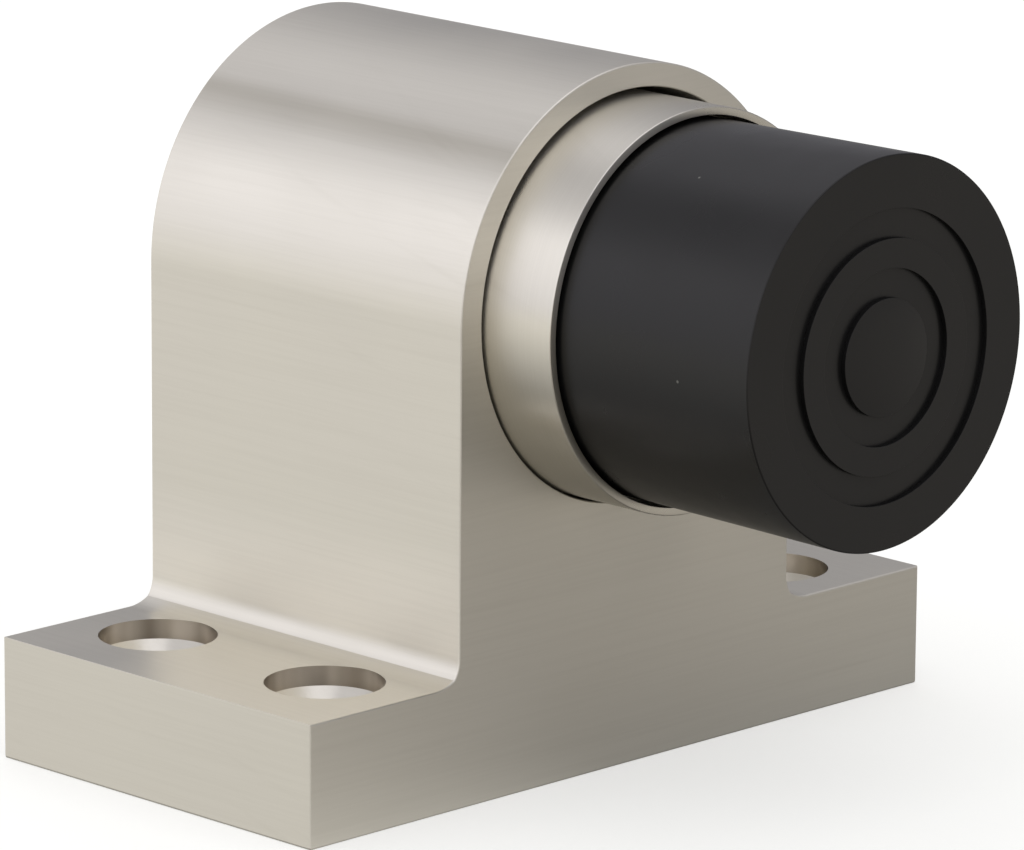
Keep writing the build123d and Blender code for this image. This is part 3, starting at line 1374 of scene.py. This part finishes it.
@dataclass
class Studio:
    """Pale floor, white surroundings, a soft lamp, and glowing sheets that only the metal shows: painted
    reflections. Sizes are in metres.
    """

    floor_size: float = 12.0
    floor_colour: str = "#CFCFCD"
    floor_lift: float = 0.42
    tent_radius: float = 1.0
    tent_reach: float = 5.0
    tent_steps: int = 48
    tent_colour: str = "#F8F7FF"
    tent_gain: float = 1.4
    # Tone of the tent, from its left foot over the top to its right foot.
    tent_tones: tuple[tuple[float, float], ...] = (
        (0.0, 1.0),
        (0.05, 1.12),
        (0.14, 1.24),
        (0.22, 1.32),
        (0.33, 0.8),
        (0.44, 0.6),
        (0.56, 0.91),
        (0.67, 0.63),
        (0.78, 0.45),
        (0.9, 0.345),
        (1.0, 0.28),
    )
    box_tone: float = 1.2
    box_size: tuple[float, float] = (0.9, 1.0)
    box_place: tuple[float, float, float] = (0.1, -0.5, 0.75)
    sheet_height: float = 0.00002
    # Colour and left and right tone of the painted floor reflection, behind the stop's front and before it.
    back_floor_reflection: tuple[str, float, float] = ("#FFFDFA", 0.81, 0.37)
    front_floor_reflection: tuple[str, float, float] = ("#FFF9F2", 0.54, 0.47)
    # The front part is all there is this many times as far out as the housing's front.
    front_reach: float = 2.6
    # Painted sheen: share of its tone that the sheet shows from above and at a low angle, and where that starts
    # and ends.
    painted_sheen: tuple[float, float] = (0.38, 1.25)
    sheen_facing: tuple[float, float] = (0.38, 0.9)
    # How much lighter the painted reflection is farther out in front, and where that starts and is full.
    far_gain: float = 1.13
    far_reach: tuple[float, float] = (-0.06, -0.085)
    # Painted shadow of the buffer in the floor's reflection: how dark its middle is, where it lies, and where it
    # starts to fade and ends.
    buffer_shade: float = 0.6
    buffer_shade_place: tuple[float, float, float] = (0.012, -0.052, 0.0)
    buffer_shade_reach: tuple[float, float] = (0.004, 0.042)
    lamp_place: tuple[float, float, float] = (-0.7, -0.3, 1.1)
    lamp_size: float = 0.9
    lamp_power: float = 1.2

    def build(self) -> None:
        """Builds the floor, the glowing sheets of painted reflection, the lamp and the world."""
        self._world()
        self._floor()
        self._tent()
        self._light_box()
        self._painted_floor()
        self._lamp()
        bpy.context.scene.view_settings.view_transform = "Standard"

    @staticmethod
    def _world() -> None:
        """White on all sides."""
        world = bpy.data.worlds.new("white_room")
        world.use_nodes = True
        bpy.context.scene.world = world
        light = world.node_tree.nodes["Background"]
        light.inputs["Color"].default_value = (1, 1, 1, 1)
        light.inputs["Strength"].default_value = 1.0

    def _floor(self) -> None:
        """A pale floor that looks white where nothing shades it."""
        floor = self._sheet("floor", self.floor_size / 2, self.floor_size / 2, (0, 0, 0))
        tree = self._stage_tree(floor, "pale_floor")
        paint = add(tree, "ShaderNodeBsdfDiffuse", {"Color": linear(self.floor_colour)})
        ray = add(tree, "ShaderNodeLightPath")
        seen = add(
            tree,
            "ShaderNodeMath",
            {0: ray.outputs["Is Camera Ray"], 1: ray.outputs["Is Glossy Ray"]},
            operation="MAXIMUM",
        )
        through = add(
            tree,
            "ShaderNodeMath",
            {0: seen.outputs[0], 1: ray.outputs["Is Transmission Ray"]},
            operation="MAXIMUM",
        )
        lift = add(tree, "ShaderNodeMath", {0: through.outputs[0], 1: self.floor_lift}, operation="MULTIPLY")
        glow = add(tree, "ShaderNodeEmission", {"Strength": lift.outputs[0]})
        both = add(tree, "ShaderNodeAddShader", {0: paint.outputs[0], 1: glow.outputs[0]})
        add(tree, "ShaderNodeOutputMaterial", {"Surface": both.outputs[0]})

    def _tent(self) -> None:
        """A glowing sheet in a half circle over the stop, seen only in reflections: a painted reflection, white on
        the left and grey on the right.
        """
        angles = [math.pi * i / self.tent_steps for i in range(self.tent_steps + 1)]
        rows = [
            (-self.tent_radius * math.cos(a), y, self.tent_radius * math.sin(a))
            for y in (-self.tent_reach, self.tent_reach)
            for a in angles
        ]
        count = len(angles)
        mesh = bpy.data.meshes.new("tent")
        panels = [(i, i + 1, count + i + 1, count + i) for i in range(self.tent_steps)]
        mesh.from_pydata(rows, [], panels)
        tent = new_object("tent", mesh)
        tree = self._stage_tree(tent, "painted_surround_reflection")
        place = add(tree, "ShaderNodeTexCoord")
        parts = add(tree, "ShaderNodeSeparateXYZ", {0: place.outputs["Object"]})
        left = add(tree, "ShaderNodeMath", {0: parts.outputs["X"], 1: -1.0}, operation="MULTIPLY")
        angle = add(tree, "ShaderNodeMath", {0: parts.outputs["Z"], 1: left.outputs[0]}, operation="ARCTAN2")
        share = add(tree, "ShaderNodeMath", {0: angle.outputs[0], 1: math.pi}, operation="DIVIDE")
        ramp = add(tree, "ShaderNodeValToRGB", {0: share.outputs[0]})
        stops = ramp.color_ramp.elements
        while len(stops) < len(self.tent_tones):
            stops.new(0.5)
        for stop, (position, tone) in zip(stops, self.tent_tones):
            level = tone / self.tent_gain
            stop.position = position
            stop.color = (level, level, level, 1)
        level = add(tree, "ShaderNodeMath", {0: ramp.outputs[0], 1: self.tent_gain}, operation="MULTIPLY")
        glow = add(
            tree, "ShaderNodeEmission", {"Color": linear(self.tent_colour), "Strength": level.outputs[0]}
        )
        add(tree, "ShaderNodeOutputMaterial", {"Surface": glow.outputs[0]})
        self._only_gloss(tent)

    def _light_box(self) -> None:
        """A glowing white sheet overhead, on the camera's side, seen only in reflections: a painted reflection of
        a light box.
        """
        width, depth = self.box_size
        box = self._sheet("light_box", width / 2, depth / 2, self.box_place)
        tree = self._stage_tree(box, "painted_light_box_reflection")
        glow = add(
            tree, "ShaderNodeEmission", {"Color": linear(self.tent_colour), "Strength": self.box_tone}
        )
        add(tree, "ShaderNodeOutputMaterial", {"Surface": glow.outputs[0]})
        self._only_gloss(box)

    def _painted_floor(self) -> None:
        """A glowing sheet on the floor, seen only in reflections: a painted reflection of the floor, white on the
        left, grey on the right and in front, with painted shade below the buffer.
        """
        reflection_sheet = self._sheet("painted_floor_sheet", self.tent_radius, self.tent_reach, (0, 0, self.sheet_height))
        tree = self._stage_tree(reflection_sheet, "painted_floor_reflection")
        place = add(tree, "ShaderNodeTexCoord")
        parts = add(tree, "ShaderNodeSeparateXYZ", {0: place.outputs["Object"]})
        low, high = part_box("housing")
        tones = []
        for (_, left, right), last_x in ((self.front_floor_reflection, high.x), (self.back_floor_reflection, 0.0)):
            across = add(
                tree,
                "ShaderNodeMapRange",
                {
                    "Value": parts.outputs["X"],
                    "From Min": low.x,
                    "From Max": last_x,
                    "To Min": left,
                    "To Max": right,
                },
            )
            tones.append(across.outputs[0])
        depth = add(
            tree,
            "ShaderNodeMapRange",
            {"Value": parts.outputs["Y"], "From Min": self.front_reach * low.y, "From Max": low.y},
        )
        tone = add(
            tree, "ShaderNodeMix", {0: depth.outputs[0], 2: tones[0], 3: tones[1]}, data_type="FLOAT"
        )
        tint = add(
            tree,
            "ShaderNodeMix",
            {0: depth.outputs[0], 6: linear(self.front_floor_reflection[0]), 7: linear(self.back_floor_reflection[0])},
            data_type="RGBA",
        )
        apart = add(
            tree,
            "ShaderNodeVectorMath",
            {0: place.outputs["Object"], 1: self.buffer_shade_place},
            operation="DISTANCE",
        )
        near, far = self.buffer_shade_reach
        shade = add(
            tree,
            "ShaderNodeMapRange",
            {"Value": apart.outputs["Value"], "From Min": near, "From Max": far, "To Min": self.buffer_shade},
        )
        grazing = add(tree, "ShaderNodeLayerWeight", {"Blend": 0.5})
        sheen = add(
            tree,
            "ShaderNodeMapRange",
            {
                "Value": grazing.outputs["Facing"],
                "From Min": self.sheen_facing[0],
                "From Max": self.sheen_facing[1],
                "To Min": self.painted_sheen[0],
                "To Max": self.painted_sheen[1],
            },
        )
        start, full = self.far_reach
        farther = add(
            tree,
            "ShaderNodeMapRange",
            {
                "Value": parts.outputs["Y"],
                "From Min": start,
                "From Max": full,
                "To Min": 1.0,
                "To Max": self.far_gain,
            },
        )
        lit = add(tree, "ShaderNodeMath", {0: tone.outputs[0], 1: farther.outputs[0]}, operation="MULTIPLY")
        shaded = add(tree, "ShaderNodeMath", {0: lit.outputs[0], 1: shade.outputs[0]}, operation="MULTIPLY")
        level = add(
            tree, "ShaderNodeMath", {0: shaded.outputs[0], 1: sheen.outputs[0]}, operation="MULTIPLY"
        )
        glow = add(tree, "ShaderNodeEmission", {"Color": tint.outputs[2], "Strength": level.outputs[0]})
        add(tree, "ShaderNodeOutputMaterial", {"Surface": glow.outputs[0]})
        self._only_gloss(reflection_sheet)

    def _lamp(self) -> None:
        """A broad soft lamp above on the left."""
        lamp = bpy.data.lights.new("soft_lamp", "AREA")
        lamp.shape = "SQUARE"
        lamp.size = self.lamp_size
        lamp.energy = self.lamp_power
        shown = bpy.data.objects.new("soft_lamp", lamp)
        bpy.context.scene.collection.objects.link(shown)
        shown.location = self.lamp_place
        shown.rotation_euler = (-Vector(self.lamp_place)).to_track_quat("-Z", "Y").to_euler()
        shown.visible_glossy = False

    @staticmethod
    def _sheet(
        name: str, half_width: float, half_depth: float, place: tuple[float, float, float]
    ) -> bpy.types.Object:
        """Lays a flat sheet round a place.

        Args:
            name: Name of the sheet.
            half_width: Half its size along x.
            half_depth: Half its size along y.
            place: Its middle.

        Returns:
            The new object.
        """
        x, y, z = place
        low_x, high_x, low_y, high_y = x - half_width, x + half_width, y - half_depth, y + half_depth
        corners = [(low_x, low_y, z), (high_x, low_y, z), (high_x, high_y, z), (low_x, high_y, z)]
        mesh = bpy.data.meshes.new(name)
        mesh.from_pydata(corners, [], [(0, 1, 2, 3)])
        return new_object(name, mesh)

    @staticmethod
    def _stage_tree(sheet: bpy.types.Object, name: str) -> bpy.types.NodeTree:
        """Gives a sheet an empty material tree."""
        made = bpy.data.materials.new(name)
        made.use_nodes = True
        made.node_tree.nodes.clear()
        sheet.data.materials.append(made)
        return made.node_tree

    @staticmethod
    def _only_gloss(reflection_sheet: bpy.types.Object) -> None:
        """Makes a glowing sheet show only in reflections, as a painted reflection, and cast no shadow."""
        reflection_sheet.visible_camera = False
        reflection_sheet.visible_diffuse = False
        reflection_sheet.visible_transmission = False
        reflection_sheet.visible_volume_scatter = False
        reflection_sheet.visible_shadow = False


@dataclass
class PhotoCamera:
    """The camera at the photograph's place. Angles are in degrees and lengths in millimetres."""

    azimuth: float = -45.116
    elevation: float = 13.685
    roll: float = 0.394
    distance: float = 777.845
    focal_pixels: float = 7432.918
    image_width: float = 1024.0
    sensor_width: float = 36.0
    look_height: float = 35.0
    shift_right: float = 4.311
    shift_up: float = -2.9

    def build(self) -> bpy.types.Object:
        """Makes it the scene's camera.

        Returns:
            The camera.
        """
        turn, tilt, roll = (math.radians(a) for a in (self.azimuth, self.elevation, self.roll))
        back = Vector(
            (math.sin(turn) * math.cos(tilt), -math.cos(turn) * math.cos(tilt), math.sin(tilt))
        )
        level = Vector((0, 0, 1)).cross(back).normalized()
        upright = back.cross(level)
        right = math.cos(roll) * level + math.sin(roll) * upright
        up = -math.sin(roll) * level + math.cos(roll) * upright
        middle = Vector((0, 0, self.look_height))
        place = middle + self.shift_right * right + self.shift_up * up + self.distance * back
        lens = bpy.data.cameras.new("photo_camera")
        lens.sensor_width = self.sensor_width
        lens.lens = self.focal_pixels * self.sensor_width / self.image_width
        shown = bpy.data.objects.new("photo_camera", lens)
        bpy.context.scene.collection.objects.link(shown)
        turned = Matrix((right, up, back)).transposed().to_4x4()
        shown.matrix_world = Matrix.Translation(place * MM) @ turned
        bpy.context.scene.camera = shown
        return shown


def main() -> None:
    """Builds every piece of the stop, then the studio and the camera."""
    logging.basicConfig(level=logging.INFO, format="%(message)s")
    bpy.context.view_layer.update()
    low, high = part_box("plunger_cup")
    axis_height = (low.z + high.z) / 2 / MM
    holes = floor_holes()

    satin = SatinSteel(
        name="satin_ground_stainless",
        colour="#DFDBCF",
        line_colour="#C5C0B2",
        roughness=0.37,
        grain=Grain.ALONG_DEPTH,
        axis_height=axis_height,
        drilled_at=(holes["spacing_x_mm"] / 2, holes["spacing_y_mm"] / 2),
        drilled_radius=6.25,
        painted_arch_shade_depth=0.7,
    )
    turned = SatinSteel(
        name="satin_turned_stainless",
        colour="#DDD9CD",
        line_colour="#C2BDB0",
        roughness=0.3,
        face_roughness=0.3,
        anisotropy=0.85,
        grain=Grain.ROUND_AXIS,
        axis_height=axis_height,
        line_pitch=0.3,
    )
    oiled_wire = WorkedStock(
        name="oiled_spring_steel",
        colour="#6E6C69",
        shade="#55534F",
        roughness=0.38,
        metallic=1.0,
        grain=1.5,
        depth=0.004,
    )
    blackened = WorkedStock(
        name="black_oxide_steel",
        colour="#3B3A39",
        shade="#2D2C2B",
        roughness=0.42,
        metallic=1.0,
        grain=2.0,
        depth=0.003,
    )
    polyamide = WorkedStock(
        name="natural_polyamide",
        colour="#E6E0CF",
        shade="#D8D1BD",
        roughness=0.48,
        metallic=0.0,
        grain=2.5,
        depth=0.005,
    )

    lathe = Lathe()
    housing = Housing(satin.material(), lathe).build()
    log.info("%s: %d faces", housing.name, len(housing.data.polygons))
    for piece in Plunger(turned.material(), MouldedRubber().material(), lathe).build():
        log.info("%s: %d faces", piece.name, len(piece.data.polygons))
    spring = SpringSet(oiled_wire.material(), blackened.material(), polyamide.material()).build()
    log.info("%s: %d faces", spring.name, len(spring.data.polygons))

    Studio().build()
    PhotoCamera().build()


if __name__ == "__main__":
    main()
